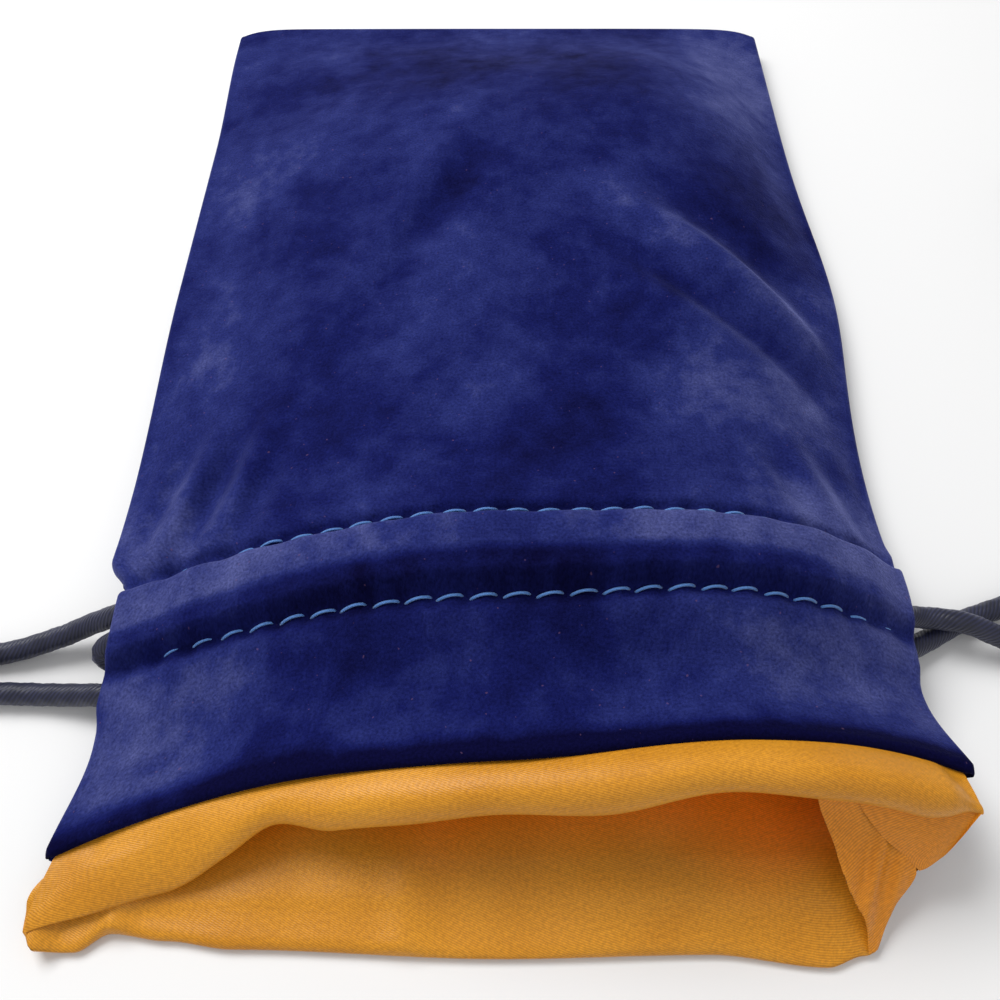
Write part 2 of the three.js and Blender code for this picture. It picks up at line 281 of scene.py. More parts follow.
def sweep(name, lines, material, radius, around, relief=None, caps=True):
    """Round tubes along lines of points in mm. The radius is one value or one for each point,
    and relief(length, angle) adds a share of it. UVs are length and girth in metres."""
    points, faces, uvs = [], [], []
    first = 0
    for line in lines:
        directions = np.gradient(line, axis=0)
        directions /= np.linalg.norm(directions, axis=1, keepdims=True)
        side_axis, other_axis = cross_axes(directions)
        turn = np.arange(around) / around * 2 * math.pi
        length, angle = np.meshgrid(run_lengths(line), turn, indexing="ij")
        reach = np.reshape(radius, (-1, 1)) * np.ones_like(length)
        if relief:
            reach = reach * (1 + relief(length, angle))
        ring = line[:, None] + side_axis[:, None] * (reach * np.cos(angle))[..., None]
        ring = ring + other_axis[:, None] * (reach * np.sin(angle))[..., None]
        points.append(ring.reshape(-1, 3))
        uvs.append(np.stack([length * MM, angle / (2 * math.pi) * CORD_GIRTH * MM], -1).reshape(-1, 2))
        index = np.arange(len(line) * around).reshape(-1, around) + first
        beside = np.roll(index, -1, axis=1)
        faces += np.stack([index[1:], beside[1:], beside[:-1], index[:-1]], -1).reshape(-1, 4).tolist()
        if caps:
            faces.append(index[0].tolist())
            faces.append(index[-1][::-1].tolist())
        first += index.size
    return make_object(name, np.vstack(points), faces, np.vstack(uvs), np.full(first, SEAM_PILE), material)


# ---- material nodes ----
def node_material(name):
    material = bpy.data.materials.new(name)
    material.use_nodes = True
    tree = material.node_tree
    return material, tree, tree.nodes["Principled BSDF"]


def add(tree, kind, **values):
    """A node whose inputs or settings have the given values."""
    node = tree.nodes.new(kind)
    for name, value in values.items():
        if name in node.inputs:
            node.inputs[name].default_value = value
        else:
            setattr(node, name, value)
    return node


def uv_coords(tree, scale=(1, 1, 1), rotation=(0, 0, 0)):
    """The cloth's UVs, in metres before scaling."""
    uv = add(tree, "ShaderNodeUVMap", uv_map="cloth")
    mapping = add(tree, "ShaderNodeMapping", Scale=scale, Rotation=rotation)
    tree.links.new(uv.outputs["UV"], mapping.inputs["Vector"])
    return mapping.outputs["Vector"]


def ramp(tree, pattern, stops):
    """A colour ramp over a pattern, from (position, colour) stops."""
    node = tree.nodes.new("ShaderNodeValToRGB")
    while len(node.color_ramp.elements) < len(stops):
        node.color_ramp.elements.new(0.5)
    for element, (position, color) in zip(node.color_ramp.elements, stops):
        element.position = position
        element.color = (*color, 1)
    tree.links.new(pattern, node.inputs["Fac"])
    return node.outputs["Color"]


def mix(tree, share, first, second, mode="MIX"):
    """Two colours mixed; each value is a node's output, a number or a colour."""
    node = add(tree, "ShaderNodeMix", data_type="RGBA", blend_type=mode)
    for socket, value in ((node.inputs[0], share), (node.inputs[6], first), (node.inputs[7], second)):
        if hasattr(value, "is_output"):
            tree.links.new(value, socket)
        elif isinstance(value, (int, float)):
            socket.default_value = value
        else:
            socket.default_value = (*value, 1)
    return node.outputs[2]


def mottled(tree, share, color, pattern, stops):
    """A colour with a share of it multiplied by a ramp over a pattern."""
    return mix(tree, share, color, mix(tree, 1.0, color, ramp(tree, pattern, stops), "MULTIPLY"))


def noise(tree, coords, scale, detail, rough, distort=0.0):
    node = add(
        tree, "ShaderNodeTexNoise", Scale=scale, Detail=detail, Roughness=rough, Distortion=distort
    )
    tree.links.new(coords, node.inputs["Vector"])
    return node.outputs["Fac"]


def bands(tree, direction, per_metre, degrees=0, distort=0.0):
    """Fine parallel threads, square to a UV axis and then turned by some degrees."""
    node = add(
        tree, "ShaderNodeTexWave", wave_type="BANDS", bands_direction=direction, wave_profile="SIN",
        Scale=1.0, Distortion=distort, Detail=2.0,
    )
    turn = (0, 0, math.radians(degrees))
    tree.links.new(uv_coords(tree, (per_metre, per_metre, 1.0), turn), node.inputs["Vector"])
    return node.outputs["Fac"]


def bump(tree, height, strength, distance, normal=None):
    node = add(tree, "ShaderNodeBump", Strength=strength, Distance=distance)
    tree.links.new(height, node.inputs["Height"])
    if normal:
        tree.links.new(normal, node.inputs["Normal"])
    return node.outputs["Normal"]


def set_surface(tree, shader, color, normal, **values):
    """Links the colour and the normal, and sets inputs named with _ for each space."""
    tree.links.new(color, shader.inputs["Base Color"])
    tree.links.new(normal, shader.inputs["Normal"])
    for name, value in values.items():
        shader.inputs[name.replace("_", " ")].default_value = value


# ---- materials ----
def velvet_material():
    """Blue pile, lighter and with more sheen where its pile value is high: random and brushed patches, with
    painted sheen, light and shade.
    """
    material, tree, shader = node_material("velvet")
    cloth = uv_coords(tree)
    stretched = uv_coords(tree, scale=(1.0, 0.6, 1.0), rotation=(0, 0, 0.35))
    lean_and_painted_light = add(tree, "ShaderNodeAttribute", attribute_name="pile").outputs["Fac"]
    patches = noise(tree, stretched, 60.0, 5.0, 0.62, 0.7)
    clouds = noise(tree, cloth, 210.0, 5.0, 0.65)
    pile = noise(tree, cloth, 3000.0, 3.0, 0.7)
    lint = noise(tree, cloth, 1700.0, 1.0, 0.4)
    # the tone is the pile value, painted light and shade included, mottled by random patches and clouds; it
    # picks the blue and the sheen weight
    tone = mix(tree, 0.30, lean_and_painted_light, ramp(tree, patches, [(0.33, BLACK), (0.68, WHITE)]))
    tone = mix(tree, 0.22, tone, ramp(tree, clouds, [(0.33, BLACK), (0.67, WHITE)]))
    blues = [
        (0.08, (0.0022, 0.0022, 0.028)),
        (0.36, (0.0064, 0.0092, 0.084)),
        (0.60, (0.0175, 0.0245, 0.138)),
        (0.92, (0.072, 0.084, 0.245)),
    ]
    color = ramp(tree, tone, blues)
    color = mottled(tree, 0.72, color, pile, [(0.3, (0.40, 0.40, 0.45)), (0.7, (1.65, 1.62, 1.5))])
    specks = ramp(tree, lint, [(0.765, BLACK), (0.79, (0.30, 0.30, 0.30))])
    color = mix(tree, specks, color, (0.20, 0.10, 0.18))
    sheen = ramp(tree, tone, [(0.15, (0.12, 0.12, 0.12)), (0.85, (0.85, 0.85, 0.85))])
    tree.links.new(sheen, shader.inputs["Sheen Weight"])
    normal = bump(tree, noise(tree, cloth, 420.0, 3.0, 0.6), 0.35, 0.0004)
    normal = bump(tree, pile, 0.6, 0.00018, normal)
    set_surface(
        tree, shader, color, normal,
        Roughness=0.95, Specular_IOR_Level=0.04, Sheen_Roughness=0.30, Sheen_Tint=(0.20, 0.22, 0.46, 1),
    )
    return material


def satin_material():
    """Golden satin with a twill line, painted a deeper orange deep in the mouth as shade and light bounced in
    the satin.
    """
    material, tree, shader = node_material("satin")
    cloth = uv_coords(tree)
    broad = noise(tree, cloth, 60.0, 4.0, 0.5, 0.3)
    floats = noise(tree, cloth, 2300.0, 2.0, 0.6)
    twill = bands(tree, "X", 1380.0, degrees=66, distort=1.5)
    weft = bands(tree, "Y", 1500.0)
    lit_share = add(tree, "ShaderNodeAttribute", attribute_name="pile").outputs["Fac"]
    color = ramp(tree, broad, [(0.35, (0.60, 0.240, 0.011)), (0.65, (0.71, 0.305, 0.019))])
    # painted shade: where the value falls, deep in the mouth, the colour is mixed towards a deeper orange
    depth = ramp(tree, lit_share, [(0.0, WHITE), (UNSHADED_SATIN, BLACK)])
    color = mix(tree, depth, color, (0.95, 0.235, 0.004))
    color = mottled(tree, 0.42, color, twill, [(0.2, (0.60, 0.55, 0.48)), (0.8, (1.17, 1.18, 1.20))])
    color = mottled(tree, 0.42, color, floats, [(0.3, (0.62, 0.58, 0.50)), (0.7, (1.30, 1.32, 1.35))])
    normal = bump(tree, noise(tree, cloth, 130.0, 3.0, 0.5), 0.25, 0.0006)
    normal = bump(tree, weft, 0.12, 0.00005, normal)
    normal = bump(tree, twill, 0.4, 0.00004, normal)
    set_surface(
        tree, shader, color, normal, Roughness=0.40, Specular_IOR_Level=0.32,
        Sheen_Weight=0.05, Sheen_Roughness=0.4, Sheen_Tint=(1.0, 0.75, 0.4, 1),
    )
    return material


def cord_material():
    """Near-black braided cord."""
    material, tree, shader = node_material("cord")
    cloth = uv_coords(tree)
    fine = noise(tree, cloth, 3000.0, 2.0, 0.6)
    tone = noise(tree, cloth, 300.0, 3.0, 0.5)
    strands = bands(tree, "X", 700.0, degrees=40)
    color = ramp(tree, tone, [(0.3, (0.006, 0.007, 0.018)), (0.7, (0.015, 0.017, 0.042))])
    color = mottled(tree, 0.6, color, strands, [(0.2, (0.5, 0.5, 0.5)), (0.9, (1.9, 1.9, 2.1))])
    normal = bump(tree, strands, 0.5, 0.0001)
    normal = bump(tree, fine, 0.3, 0.00005, normal)
    set_surface(
        tree, shader, color, normal, Roughness=0.45, Specular_IOR_Level=0.45,
        Sheen_Weight=0.15, Sheen_Tint=(0.3, 0.32, 0.6, 1),
    )
    return material


def thread_material():
    """Light blue sewing thread."""
    material, tree, shader = node_material("thread")
    tone = noise(tree, uv_coords(tree), 500.0, 2.0, 0.5)
    ply = bands(tree, "X", 1500.0, degrees=35)
    color = ramp(tree, tone, [(0.3, (0.045, 0.16, 0.50)), (0.7, (0.12, 0.33, 0.78))])
    normal = bump(tree, ply, 0.5, 0.00005)
    set_surface(tree, shader, color, normal, Roughness=0.45, Sheen_Weight=0.3)
    return material


VELVET = velvet_material()
SATIN = satin_material()
CORD = cord_material()
THREAD = thread_material()


# ---- the bag's shape, as in the CAD source, with the folds of the real one ----
def half_width(u, y, half):
    """How far a layer reaches from the middle line: wider to the base, with a waist at the
    left casing and a bulge at the right side."""
    wide = half + 0.9 * smooth((y + 25) / 35)
    waist = smooth((y + 69) / 13) * smooth((-35.4 - y) / 4.2)
    left = 0.9 * smooth((y - 45) / 30) - 2.9 * waist - 0.4 * bell(y + 40, 9)
    right = 1.7 * bell(y - 10, 20)
    return wide + np.where(u < 0, left, right)


def right_rise(y):
    """How far the right side of the mouth stands up."""
    return 11 * smooth((-y - 54) / 18)


def front_height(u, y):
    """Height of the front velvet's outer face, before its folds."""
    side = SIDE_HEIGHT + 3 * bell(y + 45, 11) + right_rise(y) * smooth((u + 1) / 2)
    out = np.clip(np.abs(u), 0, 1)
    left_crown = np.maximum(1 - out**1.8, 0) ** 1.25
    right_crown = np.maximum(1 - out**4, 0) ** 1.3
    rise = CROWN_HEIGHT * smooth((HALF_LENGTH - y) / 46) ** 0.8 - 5.4 * smooth((-y - 40) / 26)
    return side + rise * np.where(u < 0, left_crown, right_crown)


def base_corner(u):
    """How far the base edge draws back towards its two rounded corners."""
    return 2.5 * np.abs(u) ** 16


def front_share(y):
    """How much of the mouth's bow the front layer has at y: all at the mouth, none from y = 60."""
    return np.clip((60 - y) / (60 - FRONT_EDGE), 0, 1) ** 3


def left_bow(u):
    """How far the left side of the mouth reaches past its middle."""
    return 7 * np.abs(u) ** 3


def front_place(u, y):
    """The y of a point of the front layer whose row is at y on the middle line."""
    right_bow = 2.4 * np.abs(u) ** 8 - 2.0 * smooth(u / 0.55)
    bow = np.where(u < 0, left_bow(u), right_bow)
    return y - bow * front_share(y) - base_corner(u) * smooth((y - 70) / 12)


def edge_width(u, y, half):
    """half_width at a y of the back or the seams, which lie under the front's bowed left side."""
    bow = np.where(u < 0, left_bow(u), 0)
    return half_width(u, y + bow * front_share(y), half)


def seam_height(sign, y):
    return SEAM_HEIGHT + np.where(sign > 0, right_rise(y), 0)


def crease_place(x, y):
    """Distances along and across the long crease that runs down to the right side."""
    return (x - 34) * 0.80 - (y - 4) * 0.60, (x - 34) * 0.60 + (y - 4) * 0.80


def stripe_place(x, y):
    """Distance to the right of the shallow fold left of the middle."""
    return x + 16 - 0.44 * (y - 14.5)


def folds(x, y):
    """Soft folds in the front layer, in mm of height."""
    height = 0.45 * ripple(x, y, 3, 26) + 0.20 * ripple(x, y, 8, 11)
    # the long crease, with a hollow on each side
    along, across = crease_place(x, y)
    crease = 2.0 * bell(across, 2.9) - 1.5 * bell(across - 6.5, 4.2)
    crease = crease - 1.3 * bell(across + 8.5, 2.5) + 0.8 * bell(across + 13, 3.2)
    height = height + crease * bell(along, 20) * smooth((x - 8) / 18)
    # the shallow fold
    stripe = stripe_place(x, y)
    height = height + (0.8 * bell(stripe, 3.6) - 1.2 * bell(stripe - 6.5, 3.6)) * bell(y - 16, 17)
    # gathers above the casing, at its left and its right end
    left = 1.25 * bell(y + 29, 9) * smooth((-x - 24) / 10)
    height = height + left * np.sin((x + 36 - 0.25 * (y + 36)) * 2 * math.pi / 7.5)
    right = 0.7 * bell(y + 31, 7) * smooth((x - 28) / 10)
    height = height + right * np.sin((x - 30 + 0.4 * (y + 36)) * 2 * math.pi / 9.0)
    # waves between the casing and the mouth
    return height + 0.45 * bell(y + 59, 9) * np.sin(x * 2 * math.pi / 23 + 1.1)


def puff(y):
    """How far the front casing stands up between its stitch rows."""
    return 1.7 * plateau(y, FRONT_ROWS[1] + 2.0, FRONT_ROWS[0] - 2.0, 1.9)


def row_pinch(x, y):
    """How far the front's stitch rows pull the velvet down, with a pucker at each stitch."""
    depth = 0.0
    for row in FRONT_ROWS:
        pucker = 0.8 + 0.2 * np.cos(2 * math.pi * x / STITCH)
        depth = depth + 1.15 * pucker * bell(y - row, 0.95)
        beside = bell(np.abs(y - row) - 2.2, 1.6)
        depth = depth - 0.16 * np.cos(2 * math.pi * x / (STITCH * 2.03)) * beside
    return depth


def front_surface(u, y):
    """The outer face of the front velvet, with its casing, stitch rows and folds."""
    x = u * half_width(u, y, FRONT_HALF)
    place = front_place(u, y)
    inner = smooth((1 - np.abs(u)) / 0.12)
    z = front_height(u, place) + puff(y) - row_pinch(x, y) * (0.5 + 0.5 * inner)
    ends = smooth((HALF_LENGTH - y) / 14) * smooth((y - FRONT_EDGE) / 5 + 0.35)
    return x, place, z + folds(x, y) * inner * ends


# patches where the front is lighter or darker, partly from brushed pile and partly painted light and shade:
# (x, y, width, length, how much lighter)
PILE_AND_PAINTED_LIGHT_PATCHES = [
    (36, 60, 16, 10, 0.34),
    (0, 56, 22, 11, -0.26),
    (-38, 62, 13, 10, -0.30),
    (39, 21, 13, 12, -0.55),
    (18, 17, 14, 6, 0.24),
    (0, 4, 15, 9, 0.14),
    (0, -29, 16, 7, -0.22),
    (-40, -31, 8, 9, 0.26),
    (38, -19, 10, 9, 0.55),
    (38, -36, 10, 6, 0.50),
    (-38, -62, 12, 10, 0.30),
    (37, -57, 13, 7, 0.42),
]


def pile_lean_and_painted_light(x, y):
    """The front's "pile" values: random tone and brushed pile, with painted sheen, light and shade."""
    # lighter towards both sides: a painted sheen
    lean_and_painted_light = 0.38 + 0.26 * smooth((np.abs(x) - 27) / 20)
    lean_and_painted_light = lean_and_painted_light + 0.14 * ripple(x, y, 41, 20) + 0.07 * ripple(x, y, 42, 9)
    for x0, y0, width, length, lift in PILE_AND_PAINTED_LIGHT_PATCHES:
        lean_and_painted_light = lean_and_painted_light + lift * bell(x - x0, width) * bell(y - y0, length)
    # a painted highlight on the ridge and painted shade in the hollow, along the long crease and along the
    # shallow fold
    along, across = crease_place(x, y)
    crease = 0.42 * bell(across, 3.4) - 0.26 * bell(across + 8.5, 2.4)
    lean_and_painted_light = lean_and_painted_light + crease * bell(along, 22) * smooth((x + 2) / 14)
    stripe = stripe_place(x, y)
    lean_and_painted_light = lean_and_painted_light + (0.20 * bell(stripe, 3.8) - 0.30 * bell(stripe - 6, 3.2)) * bell(y - 17, 14)
    # painted light on the casing's half towards the base and painted shade on its half towards the mouth, and
    # painted shade in its stitch rows
    lean_and_painted_light = lean_and_painted_light - 0.33 * plateau(y, -48.4, -46.8, 2.4) * (1 - 0.5 * smooth((x - 18) / 20))
    lean_and_painted_light = lean_and_painted_light + 0.50 * plateau(y, -44.3, -41.0, 2.0)
    for row in FRONT_ROWS:
        lean_and_painted_light = lean_and_painted_light - 0.25 * bell(y - row, 1.0)
    # painted shadow along the turned edge at the mouth
    lean_and_painted_light = lean_and_painted_light - 0.48 * smooth((-y - 62.2) / 3.0)
    return np.clip(lean_and_painted_light, 0.02, 1) - 0.5 * smooth((-y - 63.6) / 1.8)


# ---- velvet panels ----
# A panel's grid runs across from -1 to 1. Its outer columns turn over at the side seams and
# its first rows at the base: a quarter circle at 1, and tucked in from there to TURN. Its
# last rows are a lip at the mouth: a half circle up to LIP_BEND, and a run back from there.
SIDE_TURN = 0.93
TURN = 1.25
LIP_BEND, LIP_RUN = 0.7, 0.3


def panel_grid(columns, rows, base_rows, lip_rows):
    """Grids of across, y, base turn and lip for a velvet panel."""
    base = np.linspace(TURN, 0, base_rows, endpoint=False)
    lip = np.linspace(0, 1, lip_rows + 1)[1:]
    y = np.concatenate([np.full(len(base), rows[0]), rows, np.full(len(lip), rows[-1])])
    base = np.concatenate([base, np.zeros(len(rows) + len(lip))])
    lip = np.concatenate([np.zeros(len(y) - len(lip)), lip])
    across, y = np.meshgrid(np.linspace(-1, 1, columns), y)
    return across, y, base[:, None] + 0 * across, lip[:, None] + 0 * across


def turned(amount):
    """The angle of a turned edge, and how far it is tucked in."""
    return np.minimum(amount, 1) * math.pi / 2, np.maximum(amount - 1, 0) / (TURN - 1)


def side_turn(across):
    """u over the panel's face, and how far it has turned over outside it."""
    turn = np.clip((np.abs(across) - SIDE_TURN) / (1 - SIDE_TURN), 0, 1) * TURN
    return np.clip(across / SIDE_TURN, -1, 1), turn


def lipped(lip):
    """The angle of a lip, and how far it runs back."""
    return np.minimum(lip / LIP_BEND, 1) * math.pi, np.maximum(lip - LIP_BEND, 0) / LIP_RUN


def front_velvet():
    rows = steps((BASE_ROW, -34, 120), (-34, -53, 76), (-53, FRONT_EDGE + 0.9, 30))
    across, y, base, lip = panel_grid(229, rows, 10, 11)
    u, turn = side_turn(across)
    x, place, z = front_surface(u, y)
    # the sides and the base turn down to the seams, which gape where the cords come out
    cord_gap = plateau(y, -52, -38, 3)
    low = seam_height(across, y) + 0.5 + 2.6 * cord_gap
    side_angle, side_tuck = turned(turn)
    base_angle, base_tuck = turned(base)
    x = x + np.sign(across) * (1.1 * np.sin(side_angle) - 1.7 * side_tuck)
    place = place + 1.2 * np.sin(base_angle) - 1.6 * base_tuck
    z = low + (z - low) * np.cos(side_angle) * np.cos(base_angle) - 0.5 * np.maximum(side_tuck, base_tuck)
    # the cut edge is turned under against the satin
    lip_angle, lip_run = lipped(lip)
    place = place - 0.9 * np.sin(lip_angle) + 0.9 * lip_run
    z = z - (0.75 * (1 - np.cos(lip_angle)) + 0.9 * lip_run) * np.cos(side_angle)
    uvs = np.stack([across * PANEL[0], (y + 1.5 * base - 3 * lip) * MM], -1)
    return np.stack([x, place, z], -1), uvs, pile_lean_and_painted_light(x, y)


def back_velvet():
    rows = steps((BASE_ROW, -40, 60), (-40, BACK_EDGE + 0.4, 36))
    across, y, base, lip = panel_grid(121, rows, 6, 6)
    u, turn = side_turn(across)
    # the right of the mouth curls up and draws back, and the corners are cut back a little
    curl_start = 0.66 + 0.15 * smooth((-y - 62) / 8)
    curl = np.clip((u - curl_start) / (1 - curl_start), 0, 1) ** 2
    place = y + 13 * curl * np.clip((-y - 40) / 43, 0, 1) ** 2 - base_corner(u) * smooth((y - 70) / 12)
    place = place + 4.0 * smooth((-u - 0.84) / 0.12) * smooth((-y - 66) / 8)
    place = place + 1.6 * smooth((u - 0.92) / 0.06) * smooth((-y - 70) / 6)
    x = u * edge_width(u, y, BACK_HALF)
    flat = 0.06 + right_rise(place) * curl
    # the sides and the base turn up to the seams
    cord_gap = plateau(y, -61, -42, 3)
    high = seam_height(across, place) - 0.5 - 0.7 * cord_gap
    side_angle, side_tuck = turned(turn)
    base_angle, base_tuck = turned(base)
    x = x + np.sign(across) * (1.5 * np.sin(side_angle) - 1.7 * side_tuck)
    place = place + 1.2 * np.sin(base_angle) - 1.6 * base_tuck
    z = high + (flat - high) * np.cos(side_angle) * np.cos(base_angle)
    # the cut edge is turned up against the satin
    lip_angle, lip_run = lipped(lip)
    place = place - 0.5 * np.sin(lip_angle) + 2.0 * lip_run
    z = z + 0.5 * (1 - np.cos(lip_angle)) * np.cos(side_angle)
    uvs = np.stack([across * PANEL[0] + 0.2, y * MM], -1)
    return np.stack([x, place, z], -1), uvs, 0.42 + 0.22 * ripple(x, place, 43, 18)


# ---- satin ----
SATIN_COLUMNS = 229

# sections of the front satin's rim: (distance in front of the velvet's edge, height from the
# velvet's outer face), for the roll along most of the mouth and for the flap at its left
ROLL = [
    (-4.0, -1.7), (-1.0, -1.45), (0.4, -1.2), (1.5, -1.05), (2.6, -1.2), (3.7, -1.75), (4.6, -2.75),
    (5.0, -3.8), (4.8, -4.8), (4.1, -5.4), (2.8, -5.5), (0.5, -5.1), (-3.0, -4.6),
]
FLAP = [
    (-4.0, -1.7), (-1.0, -1.45), (0.4, -1.25), (2.0, -1.6), (3.7, -2.3), (5.2, -3.1), (6.5, -4.0),
    (7.3, -4.7), (7.4, -5.1), (6.9, -5.4), (5.2, -5.2), (2.0, -4.5), (-3.0, -3.9),
]
# the roll's size along the mouth: (x, share)
ROLL_SIZE = [
    (-48, 1.0), (-36, 1.02), (-29, 0.9), (-23.5, 0.72), (-17, 1.0), (-9, 1.03), (0, 0.96),
    (12, 1.16), (22, 1.02), (33, 1.16), (42, 1.2), (48, 0.9),
]
# the back satin's rim: (distance in front of BACK_EDGE, height above the table)
BACK_RIM = [
    (-4.0, 2.3), (-0.5, 2.0), (1.5, 1.6), (3.6, 1.35), (5.2, 1.2), (5.9, 0.95), (6.1, 0.6),
    (5.8, 0.25), (4.5, 0.12), (1.5, 0.2), (-1.5, 0.35),
]
# how far the back rim's edge draws back along the mouth: (x, mm)
BACK_RIM_EDGE = [
    (-49.6, 2.6), (-48.3, 0.9), (-44.5, 0.9), (-41, 2.7), (-35, 2.0), (-28, 1.2), (0, 0.3),
    (22, 0.7), (34, -0.5), (38, 0.6), (40, 1.2),
]


def casing_bump(y):
    """How far the back lining stands over the cords in the back casing."""
    return 3.35 * plateau(y, -57.6, -49.2, 2.4)


def arc_uv(grid, across, along):
    """UVs in metres that follow the surface's own length, so that the weave keeps its size."""
    width = np.linalg.norm(np.diff(grid, axis=1), axis=2)
    length = np.linalg.norm(np.diff(grid, axis=0), axis=2)
    u = np.pad(np.cumsum(width, axis=1), ((0, 0), (1, 0)))
    v = np.pad(np.cumsum(length, axis=0), ((1, 0), (0, 0)))
    u = u - u[:, u.shape[1] // 2][:, None]
    return np.stack([u * MM + across, v * MM + along], -1)


def front_satin():
    """The front lining: its rim at the mouth, and then its rows inside the bag to the base."""
    rim_rows = 60
    inside = steps((-60.0, -40, 16), (-40, 77, 60))
    count = rim_rows + len(inside)
    across = np.tile(np.linspace(-1, 1, SATIN_COLUMNS), (count, 1))
    rim = np.arange(count)[:, None] < rim_rows
    rim_row = np.minimum(np.arange(count), rim_rows - 1)
    roll = section(ROLL, rim_rows)[rim_row]
    flap = section(FLAP, rim_rows)[rim_row]
    # the rim goes from the flap to the roll, which swells and narrows along the mouth
    span = across * SATIN_HALF
    left = smooth((-span - 23.5) / 12)
    ahead = roll[:, 0][:, None] * (1 - left) + flap[:, 0][:, None] * left
    below = roll[:, 1][:, None] * (1 - left) + flap[:, 1][:, None] * left
    size = 1 + (through(span, ROLL_SIZE) - 1) * (1 - left)
    ahead = np.where(ahead > 0, ahead * size, ahead)
    below = np.where(below < -1.2, -1.2 + (below + 1.2) * size, below)
    # the two ends draw in to a tip
    tip = smooth((np.abs(across) - np.where(across < 0, 0.88, 0.93)) / np.where(across < 0, 0.12, 0.07))
    tip = tip * 0.72 * smooth((ahead + 1.5) / 2.5)
    ahead = ahead + (np.where(across < 0, 6.9, 3.9) - ahead) * tip
    below = below + (np.where(across < 0, -4.6, -3.6) - below) * tip
    # each row's place along the bag, its depth and its width
    row_y = np.concatenate([np.zeros(rim_rows), inside])[:, None] + 0 * across
    y = np.where(rim, FRONT_EDGE - ahead, row_y)
    below = np.where(rim, below, -3.0 - 1.2 * smooth((-row_y - 30) / 25))
    rim_span = 0.945 + 0.055 * smooth((ahead + 4) / 4)
    inside_span = 0.945 - 0.06 * plateau(row_y, -55, -38, 4)
    u = across * np.where(rim, rim_span, inside_span)
    x = u * half_width(u, y, SATIN_HALF)
    place = front_place(u, y)
    z = front_height(u, place)
    # the rim is pressed thinner where the left side lies low
    room = np.clip((z - 2.0) / 5.6, 0.25, 1)
    below = np.where(across < 0, below * (room + (1 - room) * smooth((below + 2.0) / 0.8)), below)
    z = z + below
    # it spreads at its ends, and has soft waves that die out there
    outside = smooth(np.where(rim, ahead, 0) / 6)
    x = x - 1.3 * smooth((-x - 40) / 8) * outside + 0.9 * smooth((x - 42) / 6) * outside
    waves = 0.32 * ripple(x, place, 21, 14) + 0.15 * ripple(x, place, 22, 6)
    waves = waves * np.where(rim, smooth(ahead / 3) * 0.6, smooth((-below - 1) / 2))
    z = z + waves * (1 - smooth((np.abs(across) - 0.85) / 0.15))
    # it stays above the table, and inside the bag above the back lining
    z = np.maximum(z, np.where(rim, 0.9, LINING_HEIGHT + 0.15 + casing_bump(place)))
    grid = np.stack([x, place, z], -1)
    # the rim has no painted shade, and the rows inside the bag get painted shade
    return grid, arc_uv(grid, 0.0, 0.0), np.where(rim, UNSHADED_SATIN, 0.2 + 0 * across)


def back_satin():
    """The back lining: its rows inside the bag from the base, and then its rim at the mouth."""
    rim_points = section(BACK_RIM, 44)
    inside = steps((77, -40, 60), (-40, -72.6, 70))
    count = len(inside) + len(rim_points)
    across = np.tile(np.linspace(-1, 1, SATIN_COLUMNS), (count, 1))
    rim = np.arange(count)[:, None] >= len(inside)
    ahead = np.concatenate([np.zeros(len(inside)), rim_points[:, 0]])[:, None] + 0 * across
    height = np.concatenate([np.full(len(inside), LINING_HEIGHT), rim_points[:, 1]])[:, None] + 0 * across
    row_y = np.concatenate([inside, np.zeros(len(rim_points))])[:, None] + 0 * across
    # towards the mouth the right side draws in and the left one spreads
    first_y = np.where(rim, BACK_EDGE - ahead, row_y)
    near = smooth((-first_y - 66) / 9)
    at_casing = 3.0 * plateau(row_y, -60, -40, 4) * ~rim
    right = 45.3 - 6.2 * near - at_casing
    left = 45.3 + 4.3 * smooth((-first_y - 70) / 8) - at_casing
    x = np.where(across > 0, across * right, across * left)
    y = np.where(rim, first_y + through(x, BACK_RIM_EDGE) * smooth(ahead / 5), row_y)
    # it stands over the cords, and curls up at its right
    u = x / SATIN_HALF
    curl = np.where(u > 0.66, ((u - 0.66) / 0.34) ** 2, 0) * (1 - near)
    z = height + casing_bump(y) * (1 - smooth((u - 0.85) / 0.1)) + right_rise(y) * 0.92 * curl
    # soft waves, a fold left of the middle, a small pleat at the left and its raised tip
    upper = smooth((height - 0.7) / 0.6)
    z = z + (0.30 * ripple(x, y, 31, 17) + 0.10 * ripple(x, y, 32, 7)) * upper
    z = z + 0.5 * bell(x + 9.5 - 0.10 * (y + 76), 2.6) * smooth((-y - 60) / 8) * upper
    z = z + 0.7 * bell(x + 40.6, 1.6) * smooth((-y - 74) / 4) * smooth((height - 0.5) / 0.6)
    z = z + 1.3 * smooth((-x - 45.5) / 3.2) * smooth((-y - 72) / 5) * smooth((height + 0.4) / 1.2)
    grid = np.stack([x, y, np.maximum(z, 0.06)], -1)
    # painted shade: the lining is painted a deeper orange towards the inside of the mouth, in mottled patches
    # and most at its right
    shade = UNSHADED_SATIN * smooth((-y - 62) / 14) + 0.07 * ripple(x, y, 33, 10) * smooth((y + 80) / 6)
    shade = shade - 0.25 * bell(x - 31, 6) * bell(y + 70, 5)
    return grid, arc_uv(grid, 0.3, 0.0), np.clip(shade, 0, UNSHADED_SATIN)


